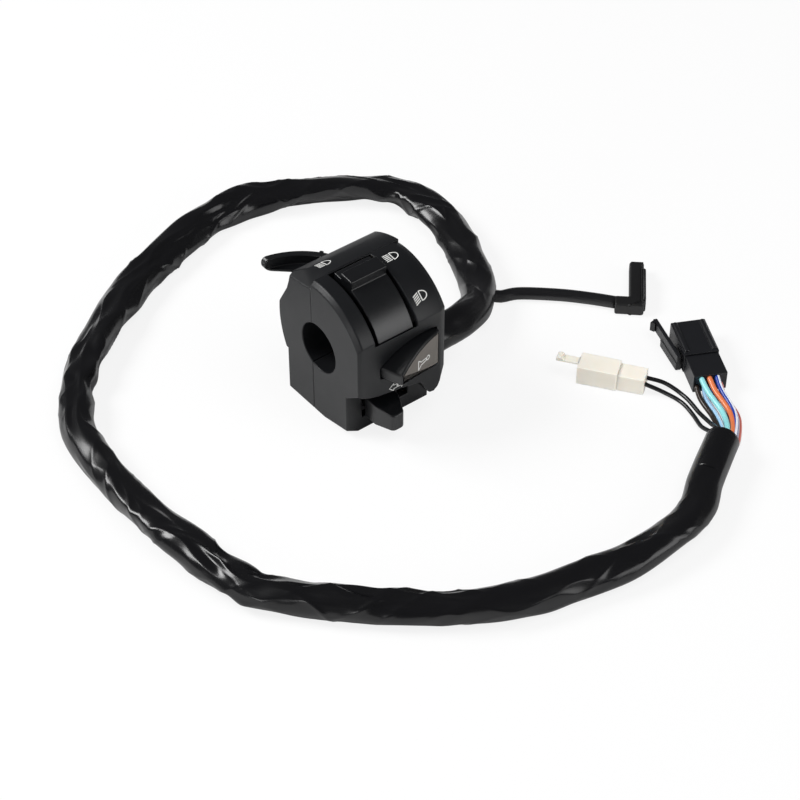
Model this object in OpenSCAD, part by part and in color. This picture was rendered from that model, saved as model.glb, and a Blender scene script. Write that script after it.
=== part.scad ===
// Left handlebar switch cluster with its wiring harness, in millimetres.
// X runs along the bar from the grip end inboard, Y points forward, Z points up.
// The origin is the centre of the bar bore at the grip end, and the harness lies on the floor below.

/* [Handlebar] */
// Bore that takes the handlebar
bar_bore = 22.2; // [21:0.1:24]
// Wall of the half collars that grip the bar
collar_wall = 2.5; // [2:0.1:2.8]
// Length of the collar at the grip end
collar_len = 11; // [8:0.5:13]

/* [Case] */
// Length of the case along the bar
case_len = 44; // [42:0.5:54]
// Wall of the moulded case
wall = 2.5; // [2:0.1:2.8]
// Radius of the rounded top on the rider's side
drum_r = 31.5; // [30:0.5:36]
// Distance from the bar axis to the flat rider's face
rider_flat = 27; // [26:0.5:28]
// Distance from the bar axis to the plane where the two halves meet
split = 4.3; // [3.8:0.1:5]
// Distance from the bar axis down to the foot
floor_drop = 35.5; // [34:0.5:42]
// Distance from the bar axis to the rider's face of the foot
foot_rider = 18; // [17:0.5:18.5]
// Distance from the bar axis to the front face of the foot
foot_front = 21.7; // [20:0.1:24]

/* [Dimmer switch] */
// Width of the rocker along the bar
rocker_w = 17.5; // [16:0.5:18]
// Radius over which the rocker swings about its pin
rocker_r = 17; // [16:0.1:17.2]
// Swing of the rocker between low and high beam
rocker_swing = 10; // [6:0.5:12]
// Diameter of the pin that carries the rocker
rocker_pin_d = 3; // [2.5:0.1:3.4]

/* [Horn button] */
// Width of the horn button's face
horn_w = 25.7; // [22:0.1:26.5]
// Radius of the button's arched top edge
horn_arc_r = 32; // [30:0.5:38]
// Slant of the button's travel away from square to the bar
horn_slant = 20; // [10:1:22]
// Travel of the button
horn_travel = 2.5; // [1.5:0.1:2.6]

/* [Turn switch] */
// Width of the knob where it leaves the case
knob_w = 12; // [10:0.1:12.4]
// Height of the knob
knob_h = 10.6; // [9:0.1:10.8]
// Travel of the knob between the left and right detents
turn_travel = 10; // [6:0.5:10.4]
// Travel of the knob when it is pushed to cancel
cancel_travel = 2; // [1:0.1:2.2]

/* [Passing trigger] */
// Middle radius of the curved trigger blade
trigger_r = 31.7; // [31:0.1:33]
// Thickness of the blade
trigger_t = 3; // [2.4:0.1:3.2]
// Height of the blade
trigger_h = 5.6; // [5:0.1:6]

/* [Harness] */
// Diameter of the sleeve round the loom
sleeve_d = 14; // [12:0.5:14.4]
// Diameter of the clutch switch lead
lead_d = 5.5; // [4:0.1:6]
// Diameter of a coloured wire
wire_d = 2.3; // [1.8:0.1:2.3]
// Diameter of a black wire
thin_wire_d = 1.8; // [1.4:0.1:2]

/* [Clearances] */
// Radial running clearance on pins
pin_gap = 0.05; // [0.02:0.01:0.1]
// Gap between a moving piece and its guide
slide_gap = 0.2; // [0.15:0.05:0.3]
// Gap between a button and its window
window_gap = 0.45; // [0.35:0.05:0.6]
// Gap under a piece that rests on its seat
seat_gap = 0.3; // [0.2:0.05:0.35]
// Gap that a contact keeps at the end of its travel
contact_gap = 0.15; // [0.1:0.05:0.3]

/* [Hidden] */
$fn = 64;
// Overrun of every cut past the face that it opens
overrun = 1;
bar_r = bar_bore / 2;
collar_r = bar_r + collar_wall;
floor_z = -floor_drop;

// Case: bevel at the grip end, and the groove and rim at the inboard end
grip_bevel = 1.8;
rim_w = 3.3;
rim_bevel = 1.5;
// Case: the arc over the front and the bulge of the front face, radius and centre in Y and Z
front_arc_r = 45.3;
front_arc_at = [-3, -13.3];
bulge_r = 40;
bulge_at = [-13.2, 3];
bulge_bottom = -14.5;
// Case: facet at the grip end of the front top, its height on the bar axis and its two slopes
facet_z = 27.9;
facet_rise = 23.7;
facet_roll = 7.4;
// Case: height of the step at the inboard end of the foot, and its length
toe_h = 3;
toe_step = 2.5;
// Case: lower edge of the rider's wall, as shares of the case length and of the drop to the foot
skirt_shares = [
    [0, 0.24], [0.12, 0.31], [0.22, 0.35], [0.48, 0.4], [0.66, 0.45], [0.69, 0.454],
    [0.725, 0.507], [0.761, 0.617], [0.809, 0.687], [0.857, 0.696], [0.905, 0.651],
    [0.95, 0.53], [1, 0.411],
];
// Case: gusset under the grip end of the rider's wall
gusset_w = 7.5;
gusset_drop = 14.4;
// Case: the cut corner of the foot at the grip end, its place across the floor and its two slopes
heel_at = -2.3;
heel_pitch = 10.1;
heel_roll = 28.9;

// Case screws: radius, head, seat plane, boss, and places in X and Z
screw_r = 1.9;
screw_head_r = 3.3;
screw_head_h = 2.4;
screw_gap = 0.2;
screw_seat = 15.5;
screw_end = -8;
boss_r = 3.4;
// The top boss is moulded on the inboard wall, the other two on the floor of the foot
boss_places = [
    [case_len - boss_r - wall + overrun / 2, 21],
    [35.5, floor_z + wall + boss_r - overrun / 2],
    [wall + boss_r - overrun / 2, floor_z + wall + boss_r - overrun / 2],
];

// Dimmer: angle of the pin round the bar axis, its depth under the top, and the rocker's place
rocker_at = 27;
pin_drop = 7.5;
rocker_out = drum_r - pin_drop;
rocker_x = 10.2;
rocker_wall = 4;
rocker_cheek = 2.4;
rocker_hub_r = 3.4;
rocker_side_gap = 2;
rocker_far_gap = 1.4;
ridge_w = 7;
ridge_h = 3.4;
ridge_out = 1;
rocker_y = -rocker_out * sin(rocker_at);
rocker_z = rocker_out * cos(rocker_at);
rocker_window_r = rocker_r + window_gap;
pin_wall = 2.5;
pin_wall_near = rocker_x - rocker_side_gap - seat_gap - pin_wall;
pin_wall_far = rocker_x + rocker_w + rocker_far_gap + seat_gap;
pin_wall_floor = 11.2;

// Dimmer detent and board, measured inward from the pin
detent_r = 1.5;
detent_depth = 6.6;
dimmer_board_t = 1.4;
dimmer_board_w = 15;
dimmer_board_out = detent_depth + detent_r + seat_gap;
rivet_r = 1.1;
rivet_h = 0.8;

// Horn: left corner of the face from the inboard end and from the rider's face, slope of the face,
// and the outline's heights and arc centre
horn_inboard = 29.7;
horn_proud = 8.9;
horn_face_x = case_len - horn_inboard;
horn_face_y = -rider_flat - horn_proud;
horn_face_slope = 15.9;
horn_left_z = -3.1;
horn_right_z = -9.2;
horn_arc_share = 0.79;
horn_arc_z = -23;
horn_flange = 1.1;
horn_flange_t = 1.5;
horn_flange_y = -rider_flat + wall + seat_gap;
horn_pad_edge = 1.2;
horn_pad_t = 0.6;
horn_roof = 2.6;
spring_x = 13;
spring_z = -0.5;
spring_r = 3;
horn_pocket_r = 4.2;
wire_r = 0.4;
horn_coils = 5;
block_t = 1.8;
block_top = 4;
block_bottom = -5.5;
post_w = 2.6;
post_y = -rider_flat + wall + rim_bevel;
strip_w = 6.5;
strip_h = 5;
strip_t = 0.5;
strip_off = 2.7;
strip_x = horn_face_x - strip_off;
strip_z = -3.2;
block_y = horn_flange_y + horn_flange_t + strip_t + horn_travel * cos(horn_slant) + contact_gap
    + rivet_h;
horn_rivets = [strip_x + strip_w * 0.25, strip_x + strip_w * 0.8];
spring_seat = 12;

// Turn switch: knob at its left detent, slot in the foot, slider and its guides
knob_x = 8.6;
knob_bottom = -28.2;
knob_nose_y = -33.5;
knob_shoulder_y = -25.5;
nose_w = 7;
nose_r = 2.4;
knob_slope = 3;
knob_mid = knob_x + knob_w / 2;
stem_w = 9;
stem_h = 6;
stem_z = -26;
slot_left = 7.8;
slot_right = knob_x + knob_w + turn_travel + window_gap;
slot_bottom = knob_bottom - window_gap;
slot_top = -16.4;
slider_left = 4.2;
slider_w = 23.4;
slider_bottom = knob_bottom;
slider_top = -17.1;
slider_t = 2;
slider_y = -foot_rider + wall + slide_gap;
knob_rest_gap = 1.3;
knob_back_y = slider_y - cancel_travel - knob_rest_gap;
cup_t = 1.4;
cup_back_y = -7.6;
spring_solid = 1.2;
stem_end_y = cup_back_y - cup_t - cancel_travel - spring_solid;
rib_t = 1.4;
rib_depth = 7;
knob_spring_r = 2;
knob_coils = 2;
turn_ball_x = 23.6;
turn_ball_wall = 1;
turn_spring_top = -20;
notch_depth = 0.7;
turn_spring_coils = 4;
turn_board_y = -5;
turn_board_t = 1.4;
turn_board_top = -14.2;
turn_board_bottom = floor_z + wall + 2 * boss_r;
turn_board_left = 4;
board_inset = 10;
turn_board_right = case_len - board_inset;

// Trigger: centre of the blade's arc, its angles, its foot, rounded tip, hub and pivot
blade_at = [-6, 3.6];
blade_from_angle = 33;
blade_to_angle = 84;
blade_z = 18.4;
tip_round = 2.4;
tip_x = -1.4;
// Trigger: flange along the foot of the blade, its thickness and the ends of its straight edge
flange_t = 1.2;
flange_tip = [-2.2, 34.6];
flange_root = [13.5, 20.4];
rib_from_angle = 37;
rib_to_angle = 40;
rib_out = 1;
pivot_at = [19.5, 17.5];
hub_r = 3.8;
arm_share = 0.75;
pivot_r = 1.5;
pivot_head_r = 2.8;
pivot_head_h = 1.6;
trigger_swing = 8;
finger_w = 2.4;
finger_len = 8.2;
trigger_coils = 3;
shelf_t = 2.6;
shelf_x = [13.5, 31];
trigger_gap = 0.4;
mouth_left = 2;
mouth_right = 25;
mouth_back = 12.6;
scoop_at = 19.8;
scoop_turn = 22.7;
scoop_shares = [
    [0.218, 0.189], [0.11, 0.401], [0.032, 0.552], [-0.006, 0.675], [-0.028, 0.763],
    [-0.066, 0.978], [1, 0.978], [1, 0.189],
];
block_left = 25.6;
block_w = 4;
post_share = 0.25;
block_near = 7;
block_far = 16;
leaf_t = 0.4;
leaf_near = 9;
leaf_far = 14.3;
leaf_play = 0.6;
leaf_low_share = 0.7;
leaf_high_share = 0.95;
leaf_x = pivot_at.x + finger_w / 2 + finger_len * sin(trigger_swing) + contact_gap;
nose_near = leaf_far - 2 * post_share * block_w;

// Outlet: place on the inboard wall, grommet radii and lengths
outlet_y = -4;
outlet_z = -21.5;
outlet_r = 7;
grommet_lip_r = 8;
grommet_lip_t = 2.2;
grommet_root_r = 8.4;
grommet_len = 8;
loom_r = 4;
loom_end = turn_board_right;

// Routes on the floor, chosen by hand
sleeve_route = [
    [52, -4, -21.5], [60, -3.5, -20.8], [74, -1, -22], [88, 7, -25.5], [100, 22, -28.5],
    [110, 45, -28.5], [116, 66, -28.5], [115, 85, -28.5], [107, 99, -28.5], [96, 109, -28.5],
    [84, 116, -28.5], [65, 125, -28.5], [47, 129, -28.5], [13, 124, -28.5], [-33, 102, -28.5],
    [-64, 78, -28.5], [-78, 61, -28.5], [-88, 42, -28.5], [-91, 10, -28.5], [-90, -16, -28.5],
    [-87, -41, -28.5], [-83, -60, -28.5], [-76, -75, -28.5], [-44, -109, -28.5],
    [-10, -132, -28.5], [22, -141, -28.5], [45, -144, -28.5], [74, -141, -28.5],
    [92, -130, -28.5], [113, -117.7, -28.5],
];
lead_route = [
    [97, 15, -30], [104, 10, -32.7], [112, 6.5, -32.7], [125, -5, -32.7], [134, -15, -32.7],
    [141, -24, -32.7],
];
white_1_route = [
    [116.5, -69, -31], [122, -75, -33], [124, -84, -34.6], [122, -95, -34.6], [119, -105, -32],
    [115.8, -110.9, -28.5], [110.2, -114.2, -27.4],
];
white_2_route = [
    [113.3, -71.5, -31], [118, -78, -33.5], [120.5, -86, -34.6], [119, -95, -34.6],
    [116, -103, -33.5], [114.8, -110.3, -31.2], [110.2, -114.2, -29.9],
];
brown_route = [
    [130.5, -84.7, -32.5], [127.3, -91, -33.8], [124, -102, -34.3], [117.1, -113.1, -32],
    [111.5, -116.4, -29.8],
];
light_blue_route = [
    [133.5, -86.2, -32.5], [130.3, -92.5, -33.8], [127, -104, -34.3], [118.4, -115.1, -32],
    [112.8, -118.4, -29.8],
];
blue_route = [
    [136.5, -87.8, -32.5], [133.3, -94, -33.8], [129.5, -106, -34.3], [119.6, -117.2, -32],
    [114, -120.5, -29.8],
];
white_route = [
    [139.5, -89.3, -32.5], [136.3, -95.6, -33.8], [132, -108, -34.3], [120.8, -119.2, -32],
    [115.2, -122.5, -29.8],
];
aqua_route = [
    [132, -85.5, -28.5], [128.8, -91.8, -30], [125.5, -103, -31.7], [117.3, -113.3, -29.4],
    [111.7, -116.6, -27.2],
];
orange_route = [
    [135, -87, -28.5], [131.8, -93.3, -30], [128, -105, -31.7], [118.6, -115.5, -29.4],
    [113, -118.8, -27.2],
];
dark_blue_route = [
    [138, -88.5, -28.5], [134.8, -94.8, -30], [130.5, -107, -31.7], [119.9, -117.6, -29.4],
    [114.3, -120.9, -27.2],
];

// White plug: its front on the floor, turn, and sizes of housing and wire holder
white_at = [98.7, -47.4];
white_turn = -54.8;
white_len = 17;
white_w = 10;
white_h = 9;
white_back_len = 11.4;
white_back_w = 8.5;
white_back_h = 8;
white_wall = 1;
white_latch_w = 4;
white_latch_t = 1.4;
white_latch_reach = 9.6;
white_latch_catch = 0.8;
white_pin_pitch = 4;
white_pin_share = 0.6;
pin_room = 0.3;
terminal_w = 1.8;
terminal_t = 0.8;

// Black plug: its front on the floor, turn, and sizes of housing and wire holder
black_at = [150.7, -57.2];
black_turn = 243.3;
black_len = 21;
black_w = 15;
black_h = 10.5;
black_wall = 1.2;
black_back_len = 13;
black_back_w = 14.4;
black_back_h = 8.8;
ridge_rail_r = 1.3;
ridge_rail_h = 0.9;
ridge_rail_in = 1.6;
ridge_rail_rest = 1.5;
// Rows of pins: how many, and their height
black_rows = [[4, 3.2], [3, 6.6]];
black_pin_pitch = 3.2;
black_pin_share = 0.7;
// Latch arm beside the black plug: ends of its middle line from the front and from the side
latch_tip = [-5.6, -5];
latch_root = [20, -1.8];
latch_t = 1.8;
latch_hook = 1.8;
latch_low = 3.6;
latch_high = 8.2;
latch_foot = 0.6;
latch_foot_t = 2.4;
latch_foot_share = 0.36;

// Clutch boot: corner on the floor, turn of its long leg, legs and flap
boot_at = [146, -31];
boot_turn = 47.5;
boot_len = 26.8;
boot_w = 6.4;
boot_h = 6;
boot_neck = 9.3;
boot_flap_t = 1.6;
boot_flap_h = 7;
boot_round = 1.2;
boot_mouth = 1.1;

// Extrudes an outline drawn in Y and Z between two places along the bar
module along_bar(from, to) {
    translate([from, 0, 0]) rotate([90, 0, 90]) linear_extrude(to - from) children();
}

// Extrudes an outline drawn in X and Z between two places fore and aft
module fore_aft(from, to) {
    translate([0, to, 0]) rotate([90, 0, 0]) linear_extrude(to - from) children();
}

// A tube through a list of places, with a ring of corners square to its run at each
function unit(v) = v / norm(v);
function run_at(p, i) = unit(p[min(i + 1, len(p) - 1)] - p[max(i - 1, 0)]);
function ring_at(p, i, r, sides, up) =
    let (side = unit(cross(run_at(p, i), up)), lift = cross(side, run_at(p, i)))
    [for (k = [0 : sides - 1]) p[i] + r * (cos(360 * k / sides) * side + sin(360 * k / sides) * lift)];

module tube(p, r, sides, up = [0, 0, 1]) {
    last = len(p) - 1;
    corners = [for (i = [0 : last]) each ring_at(p, i, r, sides, up)];
    walls = [
        for (i = [0 : last - 1])
            for (k = [0 : sides - 1])
                let (a = i * sides + k, b = i * sides + (k + 1) % sides)
                each [[a, b, b + sides], [a, b + sides, a + sides]],
    ];
    near = [for (k = [1 : sides - 2]) [0, k + 1, k]];
    far = [for (k = [1 : sides - 2]) [last * sides, last * sides + k, last * sides + k + 1]];
    polyhedron(corners, concat(walls, near, far), convexity = 6);
}

// A compression spring that stands on its own origin along Z
module coil(r, length, turns) {
    steps = 8 * turns;
    rise = (length - 2 * wire_r) / steps;
    echo("least gap between curls", rise * 8 - 2 * wire_r);
    tube([for (i = [0 : steps]) [r * cos(45 * i), r * sin(45 * i), wire_r + rise * i]], wire_r, 6);
}

// Rider's side seen from above, pulled in by t and open past the split by reach
module rider_plan(t, reach, low, high) {
    translate([0, 0, low]) linear_extrude(high - low) polygon([
        [t, split + reach], [t, -rider_flat + grip_bevel / 2 + t], [grip_bevel + t, -rider_flat + t],
        [case_len - rim_w - t, -rider_flat + t], [case_len - t, -rider_flat + rim_bevel + t],
        [case_len - t, split + reach],
    ]);
}

// Solid form of the rear half, pulled in by t
module rear_form(t, reach) {
    intersection() {
        rotate([0, 90, 0]) rotate_extrude($fn = 128) polygon([
            [0, t], [drum_r - grip_bevel - t, t], [drum_r - t, grip_bevel + t],
            [drum_r - t, case_len - rim_w - t], [drum_r - rim_bevel - t, case_len - t],
            [0, case_len - t],
        ]);
        rider_plan(t, reach, 0, drum_r);
    }
    intersection() {
        rider_plan(t, reach, floor_z, 0);
        fore_aft(-drum_r, -foot_rider + wall + overrun) translate([0, t]) polygon(concat(
            [for (s = skirt_shares) [s.x * case_len, -s.y * floor_drop]],
            [[case_len, 0], [0, 0]]
        ));
    }
    along_bar(t, case_len - t)
        translate([-foot_rider + t, floor_z + toe_h + t])
            square([foot_rider + split + reach - t, floor_drop - toe_h - t]);
    along_bar(t, case_len - toe_step - t)
        translate([-foot_rider + t, floor_z + t]) square([foot_rider + split + reach - t, toe_h + overrun]);
}

// Solid form of the front half, pulled in by t
module front_form(t, reach) {
    difference() {
        union() {
            along_bar(t, case_len - t) intersection() {
                translate(front_arc_at) circle(front_arc_r - t, $fn = 160);
                translate(bulge_at) circle(bulge_r - t, $fn = 160);
                translate([split - reach, bulge_bottom + t]) square([drum_r, drum_r + floor_drop]);
            }
            along_bar(t, case_len - t)
                translate([split - reach, floor_z + toe_h + t])
                    square([foot_front - split + reach - t, floor_drop - toe_h - t]);
            along_bar(t, case_len - toe_step - t)
                translate([split - reach, floor_z + t])
                    square([foot_front - split + reach - t, toe_h + overrun]);
        }
        translate([0, 0, facet_z - t]) rotate([-facet_roll, -facet_rise, 0])
            translate([-case_len, -drum_r, 0]) cube([case_len * 2, drum_r * 2, drum_r]);
    }
}

// Keeps what lies behind or ahead of the split plane
module behind_split() {
    intersection() {
        children();
        translate([-case_len, split - 3 * drum_r, -2 * floor_drop])
            cube([case_len * 3, 3 * drum_r, 4 * floor_drop]);
    }
}

module ahead_of_split() {
    intersection() {
        children();
        translate([-case_len, split, -2 * floor_drop]) cube([case_len * 3, 3 * drum_r, 4 * floor_drop]);
    }
}

// Collars at both ends, still without the bore
module collars() {
    along_bar(wall / 2, collar_len) circle(collar_r);
    along_bar(case_len - collar_len + wall, case_len - wall / 2) circle(collar_r);
}

module bar_hole() {
    along_bar(-overrun, case_len + overrun) circle(bar_r);
}

// Places something at the head of each case screw, pointing to the rider
module at_screws() {
    for (b = boss_places) translate([b.x, screw_seat, b.y]) rotate([90, 0, 0]) children();
}

module grommet_hole() {
    along_bar(case_len - wall - overrun, case_len + overrun)
        translate([outlet_y, outlet_z]) circle(outlet_r);
}

// Frame of the rocker: origin on its pin, Z pointing away from the bar axis
module at_rocker() {
    translate([0, rocker_y, rocker_z]) rotate([rocker_at, 0, 0]) children();
}

// Outline of the horn button seen along its travel, grown by g
module horn_outline(g) {
    intersection() {
        polygon([
            [-g, horn_left_z - g], [horn_w + g, horn_right_z - g],
            [horn_w + g, horn_arc_r], [-g, horn_arc_r],
        ]);
        translate([horn_w * horn_arc_share, horn_arc_z]) circle(horn_arc_r + g, $fn = 128);
    }
}

module at_horn() {
    translate([horn_face_x, horn_face_y, 0]) rotate([0, 0, horn_slant]) children();
}

// Everything behind the button's slanting face, set back by depth
module behind_horn_face(depth) {
    translate([horn_face_x, horn_face_y, 0]) rotate([0, 0, horn_face_slope])
        translate([-case_len, depth, -drum_r]) cube([case_len * 2, drum_r * 2, drum_r * 2]);
}

module horn_prism(g) {
    at_horn() fore_aft(-drum_r, drum_r) horn_outline(g);
}

// A slice of space between two distances fore and aft
module slice(from, to) {
    translate([-case_len, from, -drum_r]) cube([case_len * 3, to - from, drum_r * 2]);
}

module rear_case() color("dimgray") difference() {
    union() {
        difference() {
            rear_form(0, 0);
            rear_form(wall, overrun);
        }
        // Gusset that ties the rider's wall to the foot
        along_bar(0, gusset_w) polygon([
            [-foot_rider + wall / 2, -gusset_drop], [-foot_rider, -gusset_drop],
            [-rider_flat + grip_bevel / 2, skirt_shares[0].y * -floor_drop],
            [-rider_flat + grip_bevel / 2 + wall, skirt_shares[0].y * -floor_drop],
            [-foot_rider + wall / 2, skirt_shares[0].y * -floor_drop],
        ]);
        behind_split() collars();
        behind_split() intersection() {
            at_screws() cylinder(r = boss_r, h = screw_seat - screw_end);
            rear_form(wall / 2, 0);
        }
        // Walls that carry the rocker's pin
        behind_split() intersection() {
            rear_form(wall / 2, 0);
            union() {
                translate([pin_wall_near, -drum_r, pin_wall_floor]) cube([pin_wall, 2 * drum_r, drum_r]);
                translate([pin_wall_far, -drum_r, pin_wall_floor]) cube([pin_wall, 2 * drum_r, drum_r]);
            }
        }
        // Ribs that guide the turn slider
        translate([wall, -foot_rider + wall / 2, slider_top + slide_gap])
            cube([case_len - toe_step - 2 * wall, rib_depth, rib_t]);
        translate([wall, -foot_rider + wall / 2, slider_bottom - slide_gap - rib_t])
            cube([case_len - toe_step - 2 * wall, rib_depth, rib_t]);
    }
    bar_hole();
    grommet_hole();
    // Window for the rocker
    intersection() {
        at_rocker() along_bar(rocker_x - rocker_side_gap, rocker_x + rocker_w + rocker_far_gap)
            circle(rocker_window_r, $fn = 96);
        union() {
            translate([0, -drum_r, collar_r + overrun / 2]) cube([case_len, 2 * drum_r, drum_r]);
            slice(-2 * drum_r, -rider_flat + wall + overrun / 2);
        }
    }
    at_rocker() along_bar(pin_wall_near - overrun, pin_wall_far + pin_wall + overrun)
        circle(r = rocker_pin_d / 2);
    // Window for the horn button
    intersection() {
        horn_prism(window_gap);
        slice(-2 * drum_r, -rider_flat + wall + overrun / 2);
    }
    // Slot for the turn knob
    translate([slot_left, -foot_rider - overrun, slot_bottom])
        cube([slot_right - slot_left, wall + 1.5 * overrun, slot_top - slot_bottom]);
    // Screw holes
    at_screws() cylinder(r = screw_r, h = screw_seat - screw_end + overrun);
    // Track for the turn slider's detent ball, and its three deeper notches
    at_turn_detent() translate([-detent_r - pin_gap, 0, 0]) rotate([0, 90, 0])
        cylinder(r = detent_r + pin_gap, h = turn_travel + 2 * (detent_r + pin_gap));
    for (step = [0, 0.5, 1])
        translate([
            turn_ball_x + step * turn_travel, 0,
            slider_bottom - slide_gap + detent_r - notch_depth - 2 * pin_gap,
        ])
            rotate([90, 0, 0]) cylinder(r = detent_r, h = -slider_y);
    // Cut corner of the foot
    translate([0, heel_at, floor_z]) rotate([-heel_pitch, heel_roll, 0])
        translate([-case_len, -case_len, -case_len]) cube([2 * case_len, 2 * case_len, case_len]);
}

// Plan of the passing trigger: blade, arm and hub
module blade_plan(inner, outer, from, to) {
    translate(blade_at) intersection() {
        difference() {
            circle(outer, $fn = 160);
            circle(inner, $fn = 160);
        }
        polygon([
            [0, 0], 2 * outer * [cos(from), sin(from)],
            2.5 * outer * [cos((from + to) / 2), sin((from + to) / 2)],
            2 * outer * [cos(to), sin(to)],
        ]);
    }
}

module front_case() color("dimgray") difference() {
    union() {
        difference() {
            front_form(0, 0);
            front_form(wall, overrun);
        }
        ahead_of_split() collars();
        ahead_of_split() intersection() {
            at_screws() translate([0, 0, -screw_seat]) cylinder(r = boss_r, h = 2 * screw_seat);
            front_form(wall / 2, 0);
        }
        // Shelf under the trigger, carried by the front wall
        intersection() {
            translate([shelf_x[0], split + wall, blade_z - trigger_gap - shelf_t])
                cube([shelf_x[1] - shelf_x[0], drum_r, shelf_t]);
            front_form(wall / 2, 0);
        }
        // Seat for the end of the trigger's screw, moulded under the top
        intersection() {
            translate([pivot_at.x, pivot_at.y, blade_z + trigger_h + trigger_gap])
                cylinder(r = hub_r, h = drum_r);
            front_form(wall / 2, 0);
        }
    }
    bar_hole();
    grommet_hole();
    at_screws() cylinder(r = screw_r + screw_gap, h = screw_seat);
    at_screws() translate([0, 0, -drum_r]) cylinder(r = screw_head_r + screw_gap, h = drum_r);
    // Mouth for the trigger, and the scoop that its blade closes into
    translate([0, 0, blade_z - trigger_gap]) linear_extrude(trigger_h + 2 * trigger_gap) polygon([
        [mouth_left, mouth_back], [mouth_right, mouth_back],
        [mouth_right, 2 * drum_r], [mouth_left, 2 * drum_r],
    ]);
    translate([0, scoop_at, 0]) rotate([0, 0, scoop_turn]) along_bar(-drum_r, drum_r) polygon(
        [for (s = scoop_shares) s * trigger_r]);
    translate([pivot_at.x, pivot_at.y, 0])
        cylinder(r = pivot_r, h = blade_z + trigger_h + trigger_gap + wall / 2);
}

module case_screws() color("silver") at_screws() difference() {
    union() {
        translate([0, 0, -screw_head_h]) cylinder(r = screw_head_r, h = screw_head_h);
        cylinder(r = screw_r, h = screw_seat - screw_end - overrun);
    }
    for (turn = [0, 90])
        rotate([0, 0, turn]) translate([-screw_head_r / 2, -screw_r / 5, -screw_head_h - overrun])
            cube([screw_head_r, screw_r * 0.4, overrun + screw_head_h / 2]);
}

module dimmer_rocker() color("dimgray") {
    at_rocker() rotate([rocker_swing / 2 - rocker_at, 0, 0]) translate([0, -rocker_y, -rocker_z])
        difference() {
            union() {
                intersection() {
                    at_rocker() along_bar(rocker_x, rocker_x + rocker_w) circle(rocker_r, $fn = 96);
                    along_bar(rocker_x, rocker_x + rocker_w) union() {
                        difference() {
                            circle(drum_r - rocker_swing / rocker_r, $fn = 128);
                            circle(drum_r - rocker_wall, $fn = 128);
                        }
                        // Ridge under the thumb at the high beam end
                        translate([-ridge_w - ridge_out, drum_r - rocker_wall])
                            square([ridge_w, rocker_wall + ridge_h - ridge_out]);
                    }
                    translate([0, -rider_flat, 0])
                        cube([case_len, rider_flat + split - overrun, 2 * drum_r]);
                }
                // Cheeks down to the pin
                at_rocker() for (x = [rocker_x, rocker_x + rocker_w - rocker_cheek])
                    along_bar(x, x + rocker_cheek) {
                        circle(rocker_hub_r);
                        translate([-rocker_hub_r, 0])
                            square([2 * rocker_hub_r, rocker_hub_r + rocker_wall / 2]);
                    }
                // Post that guides the detent ball
                at_rocker() translate([rocker_x + rocker_w / 2, 0, -detent_depth])
                    cylinder(
                        r = detent_r + collar_wall / 2, h = detent_depth + rocker_hub_r + rocker_wall / 2
                    );
            }
            at_rocker() along_bar(-overrun, case_len) circle(rocker_pin_d / 2 + pin_gap);
            at_rocker() translate([rocker_x + rocker_w / 2, 0, -detent_depth - overrun])
                cylinder(
                    r = detent_r + pin_gap,
                    h = detent_depth + overrun - rocker_pin_d / 2 - pin_gap - seat_gap
                );
        }
}

module dimmer_pin() color("silver") at_rocker()
    along_bar(pin_wall_near + seat_gap, pin_wall_far + pin_wall - seat_gap) circle(rocker_pin_d / 2);

module at_dimmer_detent() {
    at_rocker() rotate([rocker_swing / 2, 0, 0]) translate([rocker_x + rocker_w / 2, 0, 0]) children();
}

module dimmer_detent_ball() color("silver") at_dimmer_detent()
    translate([0, 0, -detent_depth]) sphere(detent_r);

module dimmer_detent_spring() color("silver") at_dimmer_detent()
    translate([0, 0, -detent_depth + detent_r + pin_gap])
        coil(
            detent_r - wire_r - pin_gap,
            detent_depth - detent_r - rocker_pin_d / 2 - 3 * pin_gap - seat_gap,
            1
        );

module dimmer_board() color("darkgreen") at_rocker()
    translate([pin_wall_near + pin_wall, -dimmer_board_w / 2, -dimmer_board_out - dimmer_board_t])
        cube([pin_wall_far - pin_wall_near - pin_wall, dimmer_board_w, dimmer_board_t]);

module dimmer_contacts() color("goldenrod") at_rocker()
    for (x = [0.2, 0.8], y = [-1, 0, 1])
        translate([rocker_x + rocker_w * x, y * dimmer_board_w / 3, -dimmer_board_out])
            cylinder(r = rivet_r, h = rivet_h);

module horn_button() color("dimgray") difference() {
    union() {
        intersection() {
            horn_prism(0);
            behind_horn_face(0);
            slice(-2 * drum_r, horn_flange_y + horn_flange_t);
        }
        intersection() {
            horn_prism(horn_flange);
            slice(horn_flange_y, horn_flange_y + horn_flange_t);
        }
    }
    intersection() {
        horn_prism(-horn_pad_edge);
        difference() {
            slice(-2 * drum_r, 0);
            behind_horn_face(horn_pad_t);
        }
    }
    // Pocket that guides the spring
    at_horn() translate([spring_x, horn_roof, spring_z]) rotate([-90, 0, 0])
        cylinder(r = horn_pocket_r, h = drum_r);
}

module horn_face_pad() color("rosybrown") intersection() {
    horn_prism(-horn_pad_edge);
    behind_horn_face(0);
    difference() {
        slice(-2 * drum_r, 0);
        behind_horn_face(horn_pad_t);
    }
}

module horn_spring() color("silver") at_horn()
    translate([spring_x, horn_roof + seat_gap, spring_z]) rotate([-90, 0, 0])
        coil(spring_r, spring_seat - horn_roof - 2 * seat_gap, horn_coils);

module horn_moving_contact() color("goldenrod")
    translate([strip_x, horn_flange_y + horn_flange_t, strip_z]) cube([strip_w, strip_t, strip_h]);

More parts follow.
